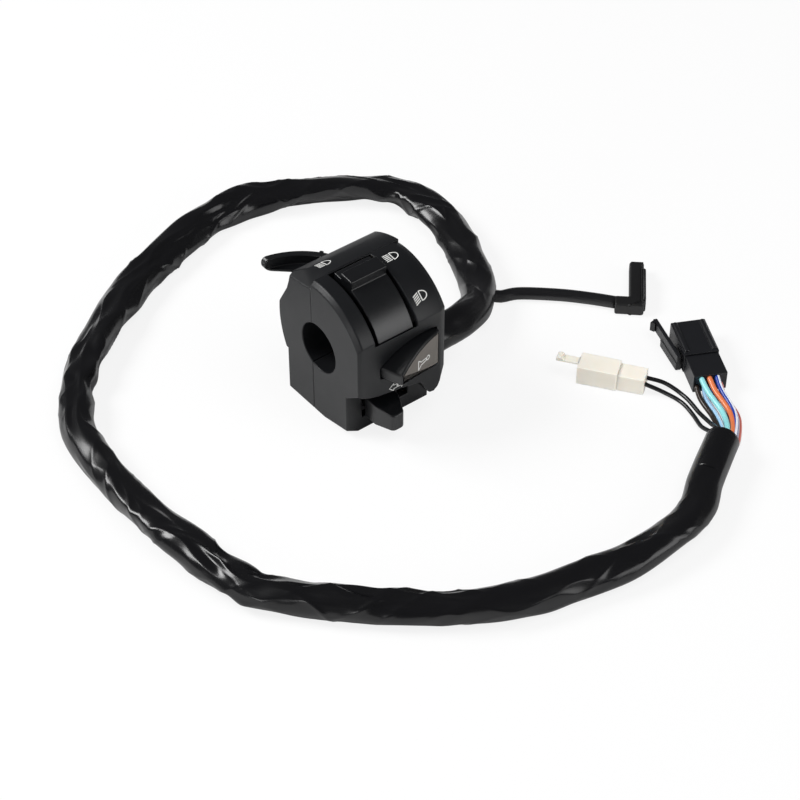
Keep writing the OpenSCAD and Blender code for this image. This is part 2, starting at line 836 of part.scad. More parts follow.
module horn_contact_block() color("black") {
    translate([wall, block_y, block_bottom]) cube([case_len - 2 * wall, block_t, block_top - block_bottom]);
    for (x = [wall, case_len - wall - post_w / 2])
        translate([x, post_y, block_bottom])
            cube([x == wall ? post_w : post_w / 2, block_y - post_y, block_top - block_bottom]);
    // Seat of the spring, square to the button's travel
    intersection() {
        at_horn() translate([spring_x, spring_seat, spring_z]) rotate([-90, 0, 0])
            cylinder(r = spring_r + wire_r, h = drum_r);
        slice(-2 * drum_r, block_y);
    }
}

module horn_fixed_contacts() color("goldenrod") for (x = horn_rivets)
    translate([x, block_y, strip_z + strip_h / 2]) rotate([90, 0, 0]) cylinder(r = rivet_r, h = rivet_h);

module turn_slider() color("ivory") difference() {
    union() {
        translate([slider_left, slider_y, slider_bottom])
            cube([slider_w, slider_t, slider_top - slider_bottom]);
        // Cup behind the knob's stem
        translate([knob_mid - stem_w / 2 - cup_t, slider_y, stem_z - cup_t])
            cube([stem_w + 2 * cup_t, cup_back_y - slider_y, stem_h + 2 * cup_t]);
        // Post that guides the detent ball
        translate([turn_ball_x, slider_y + detent_r + turn_ball_wall, slider_bottom])
            cylinder(r = detent_r + turn_ball_wall, h = turn_spring_top - slider_bottom + cup_t);
    }
    translate([knob_mid - stem_w / 2 - slide_gap, -drum_r, stem_z - slide_gap])
        cube([stem_w + 2 * slide_gap, drum_r + cup_back_y - cup_t, stem_h + 2 * slide_gap]);
    translate([turn_ball_x, slider_y + detent_r + turn_ball_wall, slider_bottom - overrun])
        cylinder(r = detent_r + pin_gap, h = turn_spring_top - slider_bottom + overrun);
}

module turn_knob() color("dimgray") {
    difference() {
        hull() {
            translate([knob_x, knob_shoulder_y, knob_bottom])
                cube([knob_w, knob_back_y - knob_shoulder_y, knob_h]);
            for (x = [-1, 1])
                translate([knob_mid + x * (nose_w / 2 - nose_r), knob_nose_y + nose_r, knob_bottom])
                    cylinder(r = nose_r, h = knob_h, $fn = 32);
        }
        // Sloping top of the nose
        along_bar(-case_len, 2 * case_len) polygon([
            [knob_shoulder_y, knob_bottom + knob_h],
            [knob_nose_y - overrun, knob_bottom + knob_h - knob_slope],
            [knob_nose_y - overrun, knob_bottom + knob_h + overrun],
            [knob_shoulder_y, knob_bottom + knob_h + overrun],
        ]);
    }
    translate([knob_mid - stem_w / 2, knob_back_y, stem_z])
        cube([stem_w, stem_end_y - knob_back_y, stem_h]);
}

module knob_spring() color("silver")
    translate([knob_mid, stem_end_y + seat_gap, stem_z + stem_h / 2]) rotate([-90, 0, 0])
        coil(knob_spring_r, cup_back_y - cup_t - stem_end_y - 2 * seat_gap, knob_coils);

module at_turn_detent() {
    translate([
        turn_ball_x, slider_y + detent_r + turn_ball_wall,
        slider_bottom - slide_gap - notch_depth + detent_r + pin_gap,
    ])
        children();
}

module turn_detent_ball() color("silver") at_turn_detent() sphere(detent_r);

module turn_detent_spring() color("silver") at_turn_detent() translate([0, 0, detent_r + pin_gap])
    coil(
        detent_r - wire_r - pin_gap,
        turn_spring_top - slider_bottom + slide_gap + notch_depth - 2 * detent_r - 3 * pin_gap,
        turn_spring_coils
    );

module turn_moving_contact() color("goldenrod")
    translate([knob_mid - stem_w / 2, cup_back_y, stem_z]) cube([stem_w, strip_t, stem_h]);

module turn_board() color("darkgreen")
    translate([turn_board_left, turn_board_y, turn_board_bottom])
        cube([turn_board_right - turn_board_left, turn_board_t, turn_board_top - turn_board_bottom]);

module turn_terminals() color("goldenrod") for (step = [0, 0.5, 1])
    translate([knob_mid + step * turn_travel, turn_board_y, stem_z + stem_h / 2])
        rotate([90, 0, 0]) cylinder(r = rivet_r, h = rivet_h * 2);

module pass_trigger() color("dimgray") difference() {
    union() {
        translate([0, 0, blade_z]) linear_extrude(trigger_h) {
            blade_plan(
                trigger_r - trigger_t / 2, trigger_r + trigger_t / 2, blade_from_angle, blade_to_angle
            );
            translate(pivot_at) circle(hub_r);
            polygon([
                pivot_at - [hub_r * arm_share, 0], pivot_at + [hub_r * arm_share, 0],
                blade_at + (trigger_r + trigger_t / 4) * [cos(rib_from_angle), sin(rib_from_angle)],
                blade_at + trigger_r * [cos(rib_to_angle), sin(rib_to_angle)],
            ]);
            // Finger that works the contact
            translate([pivot_at.x - finger_w / 2, pivot_at.y - finger_len]) square([finger_w, finger_len]);
        }
        // Flange along the foot of the blade
        translate([0, 0, blade_z]) linear_extrude(flange_t) intersection() {
            translate(blade_at) circle(trigger_r, $fn = 160);
            polygon([
                flange_tip, flange_root, pivot_at, pivot_at + [trigger_r, 0],
                flange_tip + [trigger_r, trigger_r], flange_tip + [0, trigger_r],
            ]);
        }
        // Upright rib near the root
        translate([0, 0, blade_z]) linear_extrude(trigger_h)
            blade_plan(trigger_r, trigger_r + trigger_t / 2 + rib_out, rib_from_angle, rib_to_angle);
    }
    // Plane end of the blade, with rounded corners
    fore_aft(pivot_at.y, 2 * drum_r) difference() {
        translate([tip_x - tip_round, blade_z - overrun])
            square([2 * tip_round, trigger_h + 2 * overrun]);
        for (z = [tip_round, trigger_h - tip_round])
            translate([tip_x + tip_round, blade_z + z]) circle(tip_round);
        translate([tip_x, blade_z + tip_round]) square([2 * tip_round, trigger_h - 2 * tip_round]);
    }
    translate([pivot_at.x, pivot_at.y, 0]) cylinder(r = pivot_r + pin_gap, h = 2 * drum_r);
}

module trigger_screw() color("silver")
    translate([pivot_at.x, pivot_at.y, blade_z - trigger_gap - shelf_t]) {
        cylinder(r = pivot_r, h = trigger_h + 2 * trigger_gap + shelf_t + wall / 4);
        translate([0, 0, -pivot_head_h]) cylinder(r = pivot_head_r, h = pivot_head_h);
    }

module trigger_spring() color("silver")
    translate([
        pivot_at.x + finger_w / 2 + seat_gap, pivot_at.y - finger_len + spring_r / 2 + wire_r,
        blade_z + trigger_h / 3,
    ])
        rotate([0, 90, 0])
            coil(spring_r / 2, block_left - pivot_at.x - finger_w / 2 - 2 * seat_gap, trigger_coils);

// A block at the height of the trigger's contacts, between two places in X and two in Y
module at_leaf_height(left, right, near, far) {
    translate([left, near, blade_z + trigger_h * leaf_low_share])
        cube([right - left, far - near, trigger_h * (leaf_high_share - leaf_low_share)]);
}

module trigger_contact_block() color("black") {
    translate([block_left, block_near, blade_z - trigger_gap])
        cube([block_w, block_far - block_near, trigger_h]);
    // Nose that carries both contacts
    at_leaf_height(leaf_x + leaf_t, block_left + overrun, nose_near, leaf_far);
}

module trigger_contacts() color("goldenrod") {
    at_leaf_height(leaf_x, leaf_x + leaf_t, leaf_near, leaf_far);
    at_leaf_height(leaf_x + leaf_t + leaf_play, leaf_x + 2 * leaf_t + leaf_play, leaf_near, nose_near);
}

module outlet_grommet() color("dimgray") translate([case_len, outlet_y, outlet_z]) rotate([0, 90, 0])
    rotate_extrude() polygon([
        [0, -wall - grommet_lip_t], [grommet_lip_r, -wall - grommet_lip_t], [grommet_lip_r, -wall],
        [outlet_r, -wall], [outlet_r, 0], [grommet_root_r, 0], [grommet_root_r, grommet_lip_t / 2],
        [sleeve_d / 2 + collar_wall / 5, grommet_len - grommet_lip_t / 2], [sleeve_d / 2, grommet_len],
        [0, grommet_len],
    ]);

module inner_loom() color("black") along_bar(loom_end, case_len - wall - grommet_lip_t)
    translate([outlet_y, outlet_z]) circle(loom_r);

module harness_sleeve() color("black") tube(sleeve_route, sleeve_d / 2, 12);
module clutch_lead() color("black") tube(lead_route, lead_d / 2, 8);

module clutch_boot() color("dimgray") translate([boot_at.x, boot_at.y, floor_z]) rotate([0, 0, boot_turn])
    difference() {
        union() {
            // Long leg with rounded edges
            hull() for (y = [-1, 1], z = [boot_round, boot_h - boot_round])
                translate([-boot_w / 2, y * (boot_w / 2 - boot_round), z]) rotate([0, 90, 0])
                    cylinder(r = boot_round, h = boot_len + boot_w / 2, $fn = 32);
            // Neck round the lead
            hull() for (x = [-1, 1], z = [boot_round, boot_h - boot_round])
                translate([x * (boot_w / 2 - boot_round), 0, z]) rotate([-90, 0, 0])
                    cylinder(r = boot_round, h = boot_neck, $fn = 32);
            // Flap along the outer side
            translate([0, -boot_w / 2 - boot_flap_t / 2, 0])
                cube([boot_len * 0.8, boot_flap_t, boot_flap_h]);
        }
        translate([boot_len - boot_w, -boot_w / 2 + boot_mouth, boot_mouth])
            cube([boot_w + overrun, boot_w - 2 * boot_mouth, boot_h - 2 * boot_mouth]);
    }

module clutch_terminals() color("goldenrod")
    translate([boot_at.x, boot_at.y, floor_z]) rotate([0, 0, boot_turn])
        for (y = [-1, 1])
            translate([
                boot_len - boot_w, y * terminal_w * 0.6 - terminal_t / 2, boot_h / 2 - terminal_w / 2,
            ])
                cube([boot_w * 0.7, terminal_t, terminal_w]);

module at_white_plug() {
    translate([white_at.x, white_at.y, floor_z]) rotate([0, 0, white_turn]) children();
}

// Corner of each pin's room in the white plug
module at_white_pins() {
    for (y = [-1, 1])
        translate([0, y * white_pin_pitch / 2 - terminal_w / 2, white_h / 2 - terminal_t / 2]) children();
}

module white_plug() color("white") at_white_plug() {
    difference() {
        translate([0, -white_w / 2, 0]) cube([white_len, white_w, white_h]);
        at_white_pins() translate([-overrun, -pin_room, -pin_room])
            cube([
                white_len * white_pin_share + overrun,
                terminal_w + 2 * pin_room, terminal_t + 2 * pin_room,
            ]);
    }
    // Latch arm that reaches out ahead of the housing, with a catch at its end
    fore_aft(-white_latch_w / 2, white_latch_w / 2) polygon([
        [overrun, white_h - white_latch_t], [-white_latch_reach, white_h - white_latch_t],
        [-white_latch_reach, white_h],
        [-white_latch_reach + white_latch_catch, white_h + white_latch_catch],
        [-white_latch_reach + 3 * white_latch_catch, white_h + white_latch_catch],
        [-white_latch_reach + 4 * white_latch_catch, white_h - white_latch_t / 4],
        [overrun, white_h - white_latch_t / 4],
    ]);
}

module white_plug_holder() color("white") at_white_plug()
    translate([white_len, -white_back_w / 2, 0]) cube([white_back_len, white_back_w, white_back_h]);

module white_plug_terminals() color("goldenrod") at_white_plug() at_white_pins()
    translate([white_wall, 0, 0]) cube([white_len * white_pin_share - white_wall, terminal_w, terminal_t]);

module white_plug_wire_1() color("black") tube(white_1_route, thin_wire_d / 2, 8);
module white_plug_wire_2() color("black") tube(white_2_route, thin_wire_d / 2, 8);

module at_black_plug() {
    translate([black_at.x, black_at.y, floor_z]) rotate([0, 0, black_turn]) children();
}

// Corner of each pin's room in the black plug
module at_black_pins() {
    for (row = black_rows, k = [0 : row[0] - 1])
        translate([0, (k - (row[0] - 1) / 2) * black_pin_pitch - terminal_w / 2, row[1] - terminal_t / 2])
            children();
}

// Plan of the latch arm, t thick, from a share of its length to its root
module latch_plan(from, t) {
    start = latch_tip + from * (latch_root - latch_tip);
    polygon([
        start - [0, t / 2], latch_root - [0, t / 2], latch_root + [0, t / 2], start + [0, t / 2],
    ]);
}

module black_plug() color("black") at_black_plug() {
    difference() {
        translate([0, -black_w / 2, 0]) cube([black_len, black_w, black_h - ridge_rail_h]);
        at_black_pins() translate([-overrun, -pin_room, -pin_room])
            cube([
                black_len * black_pin_share + overrun,
                terminal_w + 2 * pin_room, terminal_t + 2 * pin_room,
            ]);
    }
    // Round rails along both edges of the top
    for (y = [-1, 1])
        along_bar(ridge_rail_rest / 2, black_len - ridge_rail_rest)
            translate([y * (black_w / 2 - ridge_rail_in), black_h - ridge_rail_r]) circle(ridge_rail_r);
    // Latch arm beside the housing: its upper part reaches out, with a hook at its end
    translate([0, -black_w / 2, latch_low]) linear_extrude(latch_high - latch_low) {
        latch_plan(0, latch_t);
        polygon([
            latch_tip, latch_tip + [latch_hook, -latch_t / 2 - latch_hook],
            latch_tip + [2 * latch_hook, -latch_t / 2],
        ]);
    }
    translate([0, -black_w / 2, latch_foot]) linear_extrude(latch_low - latch_foot + latch_t / 2)
        latch_plan(latch_foot_share, latch_foot_t);
    translate([latch_root.x - 1.2 * latch_t, latch_root.y - black_w / 2, latch_foot + latch_t / 4])
        cube([latch_t, -latch_root.y + overrun, latch_low]);
}

module black_plug_holder() color("black") at_black_plug()
    translate([black_len, -black_back_w / 2, 0]) cube([black_back_len, black_back_w, black_back_h]);

module black_plug_terminals() color("goldenrod") at_black_plug() at_black_pins()
    translate([black_wall, 0, 0]) cube([black_len * black_pin_share - black_wall, terminal_w, terminal_t]);

module wire_brown() color("saddlebrown") tube(brown_route, wire_d / 2, 8);
module wire_light_blue() color("lightblue") tube(light_blue_route, wire_d / 2, 8);
module wire_orange() color("orange") tube(orange_route, wire_d / 2, 8);
module wire_dark_blue() color("navy") tube(dark_blue_route, wire_d / 2, 8);
module wire_blue() color("royalblue") tube(blue_route, wire_d / 2, 8);
module wire_aqua() color("turquoise") tube(aqua_route, wire_d / 2, 8);
module wire_white() color("white") tube(white_route, wire_d / 2, 8);

rear_case();
front_case();
case_screws();
dimmer_rocker();
dimmer_pin();
dimmer_detent_ball();
dimmer_detent_spring();
dimmer_board();
dimmer_contacts();
horn_button();
horn_face_pad();
horn_spring();
horn_moving_contact();
horn_contact_block();
horn_fixed_contacts();
turn_slider();
turn_knob();
knob_spring();
turn_detent_ball();
turn_detent_spring();
turn_moving_contact();
turn_board();
turn_terminals();
pass_trigger();
trigger_screw();
trigger_spring();
trigger_contact_block();
trigger_contacts();
outlet_grommet();
inner_loom();
harness_sleeve();
clutch_lead();
clutch_boot();
clutch_terminals();
white_plug();
white_plug_holder();
white_plug_terminals();
white_plug_wire_1();
white_plug_wire_2();
black_plug();
black_plug_holder();
black_plug_terminals();
wire_brown();
wire_light_blue();
wire_orange();
wire_dark_blue();
wire_blue();
wire_aqua();
wire_white();
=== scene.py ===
# %% [markdown]
# # A handlebar switch cluster with its harness
#
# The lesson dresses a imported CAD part: a left-hand motorcycle switch cluster, a vinyl sleeved
# harness that lies round it in a loop, and the plugs at the harness's ends. The CAD part is the
# frame. It is never moved or changed; pieces are built round it, or stand for a node of it.

# %% Load the frame
from math import radians

import bmesh
import bpy
import numpy as np
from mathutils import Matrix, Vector
from mathutils.bvhtree import BVHTree


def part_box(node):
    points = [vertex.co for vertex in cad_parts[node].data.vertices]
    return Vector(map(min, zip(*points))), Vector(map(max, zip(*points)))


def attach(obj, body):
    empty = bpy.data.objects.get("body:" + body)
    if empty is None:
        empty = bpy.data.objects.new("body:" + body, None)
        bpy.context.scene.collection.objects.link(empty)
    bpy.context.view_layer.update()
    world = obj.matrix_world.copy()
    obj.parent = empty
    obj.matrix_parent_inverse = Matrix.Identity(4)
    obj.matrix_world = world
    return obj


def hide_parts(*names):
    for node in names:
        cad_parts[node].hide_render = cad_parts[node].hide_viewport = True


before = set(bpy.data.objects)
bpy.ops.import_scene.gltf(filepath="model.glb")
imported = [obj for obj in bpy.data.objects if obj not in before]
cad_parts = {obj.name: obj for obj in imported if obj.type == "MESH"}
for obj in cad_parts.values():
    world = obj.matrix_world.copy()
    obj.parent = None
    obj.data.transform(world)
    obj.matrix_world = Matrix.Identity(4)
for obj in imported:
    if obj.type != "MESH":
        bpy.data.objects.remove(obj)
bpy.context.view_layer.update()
MM = 0.001
FLOOR_Z = -35.5

# %% [markdown]
# ## The camera
#
# The bar's hole is a circle of known size, so its outline in a picture gives the place that the
# picture was taken from. A long lens from about a metre away looks down by 42 degrees, from the
# rider's side and the grip's end of the cluster.

# %% Camera
CAMERA_AT = (-0.39211, -0.55565, 0.58773)
CAMERA_DOWN = 42.19
CAMERA_TURN = 37.95
LENS_MM = 101.25
SENSOR_MM = 36.0
NEAREST_SEEN = 10 * MM


def add_camera():
    """A camera without roll: tipped down from level, then turned about Z."""
    data = bpy.data.cameras.new("camera")
    data.lens = LENS_MM
    data.sensor_width = SENSOR_MM
    data.clip_start = NEAREST_SEEN
    camera = bpy.data.objects.new("camera", data)
    camera.location = CAMERA_AT
    camera.rotation_euler = (radians(90 - CAMERA_DOWN), 0, radians(-CAMERA_TURN))
    bpy.context.scene.collection.objects.link(camera)
    bpy.context.scene.camera = camera


add_camera()
print("camera at", CAMERA_AT)

# %% [markdown]
# ## Colours and nodes
#
# Every material below is a few linked nodes. One small function adds a node, sets what it is given
# by name and links an input whose value is another node's output. Colours are written as the hex
# values that a colour picker shows, and one function turns them into the linear light that the
# renderer works in.


# %% Node and colour helpers
def linear(colour, times=1.0):
    """A hex colour as linear light: each channel to the power 2.4 after its offset, as sRGB has it."""
    channels = np.array([int(colour[i:i + 2], 16) for i in (1, 3, 5)]) / 255
    light = np.where(channels <= 0.04045, channels / 12.92, ((channels + 0.055) / 1.055) ** 2.4)
    return (*np.minimum(light * times, 1.0).tolist(), 1.0)


def add_node(tree, kind, inputs=None, **settings):
    """Adds a node of a kind. settings are its own values; inputs are numbers, colours or outputs."""
    node = tree.nodes.new(kind)
    for name, value in settings.items():
        setattr(node, name, value)
    for name, value in (inputs or {}).items():
        if isinstance(value, bpy.types.NodeSocket):
            tree.links.new(value, node.inputs[name])
        else:
            node.inputs[name].default_value = value
    return node


def mixed(tree, share, first, second):
    """The colour output of a mix: all first where share is 0, all second where it is 1."""
    node = add_node(tree, "ShaderNodeMix", {0: share, 6: first, 7: second}, data_type="RGBA")
    return node.outputs[2]


def new_material(name):
    """An empty node material, and its tree."""
    material = bpy.data.materials.new(name)
    material.use_nodes = True
    material.node_tree.nodes.clear()
    return material, material.node_tree


def noise(tree, size_mm, detail=2.0):
    """The output of a noise whose lumps are size_mm across, on Object coordinates."""
    place = add_node(tree, "ShaderNodeTexCoord").outputs["Object"]
    inputs = {"Vector": place, "Scale": 1 / (size_mm * MM), "Detail": detail}
    return add_node(tree, "ShaderNodeTexNoise", inputs).outputs["Fac"]


def ranged(tree, value, low, high):
    """A value of 0 to 1, stretched to run from low to high."""
    inputs = {"Value": value, "To Min": low, "To Max": high}
    return add_node(tree, "ShaderNodeMapRange", inputs).outputs["Result"]


def bumped(tree, height, height_mm, edge_mm=None):
    """A normal for a shader: height of 0 to 1 as relief of height_mm, on edges rounded over edge_mm."""
    inputs = {"Height": height, "Distance": height_mm * MM}
    if edge_mm:
        rounded = add_node(tree, "ShaderNodeBevel", {"Radius": edge_mm * MM}, samples=6)
        inputs["Normal"] = rounded.outputs["Normal"]
    return add_node(tree, "ShaderNodeBump", inputs).outputs["Normal"]


def finished(material, tree, inputs):
    """Ends a material with one Principled shader that takes the inputs, and hands it back."""
    shader = add_node(tree, "ShaderNodeBsdfPrincipled", inputs)
    add_node(tree, "ShaderNodeOutputMaterial", {"Surface": shader.outputs[0]})
    return material


# %% [markdown]
# ## Moulded plastic
#
# The case is black glass-filled nylon. Its mould was spark eroded, which leaves a fine even grain,
# so the plastic looks dry and grey where light falls across it and black where it faces the eye.
# The rocker and the knobs are black ABS from a polished mould: the same colour with less grain and
# a sharper gloss. Moulded edges are never knife sharp, so the shader rounds each of them a little.
# The grain of the real case is about 0.15 mm; it is drawn at 0.35 mm, as coarse as it needs to be
# to show in the picture.


# %% Moulded plastic
def moulded_plastic(name, colour, roughness, grain_mm, grain_height_mm, edge_mm=0.4, gloss=0.5):
    """Plastic out of a mould: flow marks in its colour, grain as bump, and a roughness that drifts."""
    material, tree = new_material(name)
    flow = noise(tree, 9.0, 3.0)
    return finished(material, tree, {
        "Base Color": mixed(tree, flow, linear(colour), linear(colour, 1.35)),
        "Roughness": ranged(tree, flow, roughness - 0.04, roughness + 0.04),
        "Normal": bumped(tree, noise(tree, grain_mm), grain_height_mm, edge_mm),
        "Specular IOR Level": gloss,
    })


MATERIALS = {
    "case_plastic": moulded_plastic(
        "case_glass_filled_nylon", "#0f1012", 0.42, 0.35, 0.012, edge_mm=0.3, gloss=0.34
    ),
    "button_plastic": moulded_plastic("button_abs", "#0b0c0e", 0.32, 0.5, 0.004, edge_mm=0.3),
    "contact_block": moulded_plastic("contact_block_phenolic", "#2a1d16", 0.5, 0.4, 0.01, edge_mm=0.15),
    "slider_nylon": moulded_plastic("slider_nylon", "#232325", 0.45, 0.5, 0.005, edge_mm=0.2),
    "black_nylon": moulded_plastic("plug_black_nylon", "#101114", 0.36, 0.3, 0.006, edge_mm=0.25),
    "boot_rubber": moulded_plastic("boot_rubber", "#0b0b0c", 0.5, 0.3, 0.01, edge_mm=0.3),
}
print("plastics:", sorted(MATERIALS))

# %% [markdown]
# ## Metals, the contact board and the milky nylon plug
#
# Steel screws and springs are plated, brass contacts are stamped, and the board is brown paper
# phenolic. The white plug is unfilled nylon: a milky plastic that light enters, so it gets a little
# subsurface scattering in place of a flat white.


# %% Metal, board and nylon
SCRATCH_MM = 0.2


def drawn_metal(name, colour, roughness):
    """Plated or stamped metal: fine scratches as bump, and a roughness that drifts over it."""
    material, tree = new_material(name)
    drift = noise(tree, 3.0, 2.0)
    return finished(material, tree, {
        "Base Color": mixed(tree, drift, linear(colour, 0.85), linear(colour)),
        "Metallic": 1.0,
        "Roughness": ranged(tree, drift, roughness - 0.06, roughness + 0.06),
        "Normal": bumped(tree, noise(tree, SCRATCH_MM, 4.0), 0.005),
    })


def milky_nylon():
    """Unfilled nylon: off white, with light that goes a millimetre or two into it, and flow marks."""
    material, tree = new_material("white_plug_nylon")
    flow = noise(tree, 5.0, 3.0)
    return finished(material, tree, {
        "Base Color": mixed(tree, flow, linear("#efe9dc"), linear("#f5f0e5")),
        "Roughness": ranged(tree, flow, 0.34, 0.46),
        "Subsurface Weight": 0.6,
        "Subsurface Radius": (1.0, 0.85, 0.7),
        "Subsurface Scale": 1.6 * MM,
        "Normal": bumped(tree, noise(tree, 0.4), 0.006, 0.3),
    })


MATERIALS["steel"] = drawn_metal("zinc_plated_steel", "#b9bcc0", 0.34)
MATERIALS["spring_steel"] = drawn_metal("spring_wire", "#9a9da2", 0.3)
MATERIALS["brass"] = drawn_metal("stamped_brass", "#c9a35a", 0.32)
MATERIALS["board"] = moulded_plastic("paper_phenolic_board", "#6b4526", 0.55, 0.5, 0.01, edge_mm=0.1)
MATERIALS["white_nylon"] = milky_nylon()

# %% [markdown]
# ## The horn button's face
#
# The face of the horn button is a bronze-grey paint on a moulded pad. Fine metal flakes lie in the
# paint, so it is half metallic, and the flakes show as a faint sparkle.


# %% Painted face
def flake_paint():
    """Metallic paint: noise of 0.3 mm shifts its colour and its roughness from flake to flake."""
    material, tree = new_material("horn_face_paint")
    flakes = noise(tree, 0.3, 1.0)
    return finished(material, tree, {
        "Base Color": mixed(tree, flakes, linear("#58534e"), linear("#7f7972")),
        "Metallic": 0.55,
        "Roughness": ranged(tree, flakes, 0.32, 0.44),
        "Normal": bumped(tree, flakes, 0.004, 0.4),
    })


MATERIALS["horn_face"] = flake_paint()

# %% [markdown]
# ## Soft vinyl: the sleeve and the wires
#
# The sleeve and the wires' insulation are soft PVC, drawn through a die while hot. It comes out
# glossy, and the gloss is broken only by faint marks that run along it. A wire of two colours has a
# stripe down one side. Each cord below carries a UV map: U is the way round, V is metres along it,
# so marks and stripes follow every bend.


# %% Vinyl
STRIPE_SHARE = 0.16
DRAG_MARKS = (30.0, 60.0, 1.0)


def drawn_vinyl(name, colour, roughness=0.3, stripe=None, gloss=0.5):
    """PVC from a die: drag marks as bump, 30 to the turn and 17 mm long, and a stripe where U is small."""
    material, tree = new_material(name)
    across_and_along = add_node(tree, "ShaderNodeUVMap", uv_map="along").outputs["UV"]
    place = add_node(tree, "ShaderNodeMapping", {"Vector": across_and_along, "Scale": DRAG_MARKS})
    marks = {"Vector": place.outputs["Vector"], "Scale": 1.0, "Detail": 2.0}
    drag = add_node(tree, "ShaderNodeTexNoise", marks).outputs["Fac"]
    tone = mixed(tree, drag, linear(colour, 0.92), linear(colour, 1.08))
    if stripe:
        across = add_node(tree, "ShaderNodeSeparateXYZ", {"Vector": across_and_along}).outputs["X"]
        inside = add_node(tree, "ShaderNodeMath", {0: across, 1: STRIPE_SHARE}, operation="LESS_THAN")
        tone = mixed(tree, inside.outputs[0], tone, linear(stripe))
    return finished(material, tree, {
        "Base Color": tone,
        "Roughness": ranged(tree, drag, roughness - 0.05, roughness + 0.05),
        "Normal": bumped(tree, drag, 0.01),
        "Specular IOR Level": gloss,
    })


MATERIALS["sleeve_pvc"] = drawn_vinyl("sleeve_vinyl", "#0b0b0d", 0.24, gloss=0.4)
MATERIALS["wire_black"] = drawn_vinyl("wire_vinyl_black", "#111113", 0.3)
MATERIALS["wire_brown"] = drawn_vinyl("wire_vinyl_brown", "#2b211c", 0.32)
MATERIALS["wire_light_blue"] = drawn_vinyl("wire_vinyl_light_blue", "#a6d0f2", 0.3, stripe="#f2f4f8")
MATERIALS["wire_orange"] = drawn_vinyl("wire_vinyl_orange", "#e07a4a", 0.3)
MATERIALS["wire_dark_blue"] = drawn_vinyl("wire_vinyl_blue_white", "#1c3d9e", 0.3, stripe="#eef1f8")
MATERIALS["wire_blue"] = drawn_vinyl("wire_vinyl_blue", "#1763c6", 0.3)
MATERIALS["wire_aqua"] = drawn_vinyl("wire_vinyl_aqua", "#93dcdf", 0.3)
MATERIALS["wire_white"] = drawn_vinyl("wire_vinyl_white", "#ece6e6", 0.3, stripe="#d06a5c")
print("materials:", len(MATERIALS))

# %% [markdown]
# ## Every CAD node gets its material
#
# The record names a material slot for each node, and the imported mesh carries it. Each slot's
# material above takes the place of the plain one.


# %% Dress the CAD nodes
def slot_of_node():
    """Which record slots each node takes: an imported material is named after its slot."""
    found = {}
    for name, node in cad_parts.items():
        worn = [slot.material for slot in node.material_slots]
        found[name] = [material.name.split(".")[0] if material else "" for material in worn]
    return found


NODE_SLOTS = slot_of_node()
for name, slots in NODE_SLOTS.items():
    for index, slot in enumerate(slots):
        if slot in MATERIALS:
            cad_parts[name].material_slots[index].material = MATERIALS[slot]
        else:
            print("no material for", name, slot)
print("nodes dressed:", len(NODE_SLOTS))

# %% [markdown]
# ## Moulded edges
#
# A mould is cut with a round tool, so each outer edge of a moulding is a small round that catches
# the light as a fine bright line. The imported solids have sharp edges. So each visible moulding gets
# a skin: a copy of its own mesh whose doubled points are merged and whose flat triangles are joined,
# with a bevel on every edge that turns by more than 28 degrees. The skin stands for its node.


# %% Merge a node's mesh
ROUNDED_MM = {
    "rear_case": 0.45, "front_case": 0.45, "dimmer_rocker": 0.4, "horn_button": 0.7,
    "horn_face_pad": 0.3, "turn_knob": 0.7, "pass_trigger": 0.5, "white_plug": 0.3,
    "white_plug_holder": 0.3, "black_plug": 0.3, "black_plug_holder": 0.3, "clutch_boot": 0.8,
}
SHARP = radians(28)
FLAT = radians(0.5)
SAME_POINT_MM = 0.001


def merged(node):
    """A copy of a node's mesh: doubled points merged, flat triangles joined, sharp edges marked."""
    shape = bmesh.new()
    shape.from_mesh(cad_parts[node].data)
    bmesh.ops.remove_doubles(shape, verts=shape.verts, dist=SAME_POINT_MM * MM)
    bmesh.ops.dissolve_limit(shape, angle_limit=FLAT, verts=shape.verts, edges=shape.edges)
    for edge in shape.edges:
        edge.smooth = edge.calc_face_angle(0) < SHARP
    for face in shape.faces:
        face.smooth = True
    return shape


print("nodes to round:", len(ROUNDED_MM))


# %% Bevel, and keep it on the part
def bevelled(piece, width):
    """A new mesh: the piece's own with each sharp edge rounded over width millimetres."""
    edges = piece.modifiers.new("rounded_edges", "BEVEL")
    edges.width = width * MM
    edges.segments = 3
    edges.limit_method = "ANGLE"
    edges.angle_limit = SHARP
    edges.use_clamp_overlap = False
    edges.harden_normals = True
    whole = piece.evaluated_get(bpy.context.evaluated_depsgraph_get())
    mesh = bpy.data.meshes.new_from_object(whole)
    piece.modifiers.clear()
    return mesh


def keep_near(mesh, own_surface, reach, box):
    """Where edges shorter than the width meet, a bevel can shoot past the part. So a point further
    than reach from the part's own surface goes back to the nearest place on it, and none leaves the
    box."""
    points = np.empty(3 * len(mesh.vertices), np.float32)
    mesh.vertices.foreach_get("co", points)
    points = points.reshape(-1, 3)
    hits = [own_surface.find_nearest(Vector(point)) for point in points]
    places = np.array([hit[0] for hit in hits])
    far = np.array([hit[3] for hit in hits])
    kept = np.clip(np.where(far[:, None] > reach, places, points), *box)
    mesh.vertices.foreach_set("co", kept.astype(np.float32).ravel())
    mesh.update()


# %% Skins with rounded edges
BODY_OF = {
    "dimmer_rocker": "dimmer", "horn_button": "horn", "horn_face_pad": "horn", "turn_knob": "cancel",
    "pass_trigger": "trigger",
}


